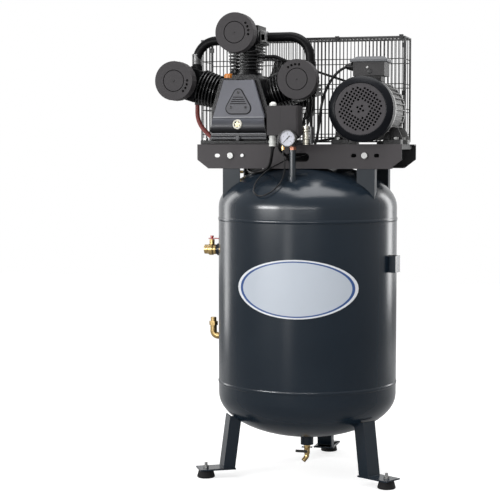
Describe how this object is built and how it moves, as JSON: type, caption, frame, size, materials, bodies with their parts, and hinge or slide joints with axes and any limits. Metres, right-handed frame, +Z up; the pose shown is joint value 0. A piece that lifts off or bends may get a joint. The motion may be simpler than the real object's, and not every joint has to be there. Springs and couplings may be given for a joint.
{
  "type": "vertical tank air compressor",
  "caption": "Upright air compressor: finned V-type piston pump with round intake filters and a belt-driven motor behind a wire guard, on rails over a legged pressure tank.",
  "frame": {"origin": "on the floor under the tank's axis", "axes": "+Z up; -Y is the front with the pump's cover and the gauge; +X is the viewer's right, towards the motor"},
  "size_m": [0.8207, 0.6849, 1.5398],
  "materials": {
    "tank_paint": "semi-gloss dark blue-grey",
    "rail_paint": "satin dark grey",
    "plate": "satin",
    "rubber": "matte",
    "zinc": "zinc plated",
    "pump_black": "satin black paint",
    "cover_grey": "satin dark blue-grey paint",
    "sight": "gloss",
    "orange": "satin",
    "cast_alu": "cast",
    "filter_grey": "satin",
    "black_pipe": "gloss",
    "copper": "drawn copper",
    "cowl": "satin",
    "black_plastic": "satin",
    "wire_black": "satin",
    "white_plastic": "gloss",
    "fitting": "dark plated",
    "gauge": "satin",
    "needle": "matte",
    "brass": "machined",
    "lever_red": "gloss",
    "cord": "matte"
  },
  "bodies": {
    "compressor_frame": {"tank_shell": "tank_paint", "tank_head_top": "tank_paint", "tank_head_bottom": "tank_paint", "tank_sockets": "tank_paint", "leg_left": "tank_paint", "leg_right": "tank_paint", "leg_rear": "tank_paint", "rubber_feet": "rubber", "posts_front": "tank_paint", "posts_rear": "tank_paint", "side_bracket": "tank_paint", "label_plate": "plate", "rail_front": "rail_paint", "rail_rear": "rail_paint", "motor_bearers": "rail_paint", "fasteners": "zinc", "crankcase": "pump_black", "front_cover": "cover_grey", "sight_glass": "sight", "cylinder_left": "pump_black", "cylinder_centre": "pump_black", "cylinder_right": "pump_black", "head_left": "cast_alu", "head_centre": "cast_alu", "head_right": "cast_alu", "filter_left": "filter_grey", "filter_centre": "filter_grey", "filter_right": "filter_grey", "air_pipe_left": "black_pipe", "air_pipe_right": "black_pipe", "delivery_pipe": "copper", "motor_body": "cast_alu", "fan_cover": "cowl", "terminal_box": "black_plastic", "drive_belts": "rubber", "guard_front": "wire_black", "guard_rear": "wire_black", "guard_left": "wire_black", "guard_right": "wire_black", "guard_top": "wire_black", "switch_body": "black_plastic", "manifold": "fitting", "gauge_body": "gauge", "safety_valve": "brass", "outlet_valve": "brass", "drain_valve": "brass", "elbow_fitting": "brass", "motor_cable": "cord", "unloader_tube": "cord", "supply_cable": "cord"},
    "crank": {"crankshaft": "zinc", "flywheel": "pump_black"},
    "motor_shaft": {"motor_rotor": "zinc", "motor_pulley": "pump_black"},
    "outlet_handle": {"outlet_lever": "lever_red"},
    "drain_handle": {"drain_lever": "black_plastic"},
    "on_off_knob": {"switch_knob": "white_plastic"},
    "needle": {"gauge_needle": "needle"},
    "relief_ring": {"safety_ring": "zinc"},
    "oil_filler_cap": {"oil_cap": "orange"}
  },
  "joints": [
    {"name": "crank_spin", "type": "hinge", "parent": "compressor_frame", "child": "crank", "pos_m": [-0.2, 0.205, 1.257], "axis": [0, 1, 0], "continuous": true},
    {"name": "motor_spin", "type": "hinge", "parent": "compressor_frame", "child": "motor_shaft", "pos_m": [0.215, 0.205, 1.224], "axis": [0, 1, 0], "continuous": true},
    {"name": "outlet_lever_turn", "type": "hinge", "parent": "compressor_frame", "child": "outlet_handle", "pos_m": [-0.337, 0, 0.753], "axis": [0, 0, 1], "range_deg": [0, 90]},
    {"name": "drain_lever_turn", "type": "hinge", "parent": "compressor_frame", "child": "drain_handle", "pos_m": [0, 0, 0.073], "axis": [0, 1, 0], "range_deg": [0, 90]},
    {"name": "switch_knob_pull", "type": "slide", "parent": "compressor_frame", "child": "on_off_knob", "axis": [0, 0, 1], "range_m": [0, 0.006]},
    {"name": "gauge_needle_turn", "type": "hinge", "parent": "compressor_frame", "child": "needle", "pos_m": [-0.001, -0.281, 1.13], "axis": [0, 1, 0], "range_deg": [0, 270], "stiffness_Nm_per_rad": 0.002},
    {"name": "safety_ring_pull", "type": "slide", "parent": "compressor_frame", "child": "relief_ring", "axis": [0, 0, 1], "range_m": [0, 0.004], "stiffness_N_per_m": 300},
    {"name": "oil_cap_lift", "type": "slide", "parent": "compressor_frame", "child": "oil_filler_cap", "axis": [0, 0, 1], "range_m": [0, 0.02]}
  ],
  "couplings": [
    {"joint": "motor_spin", "follows": "crank_spin", "ratio": 2.679}
  ]
}
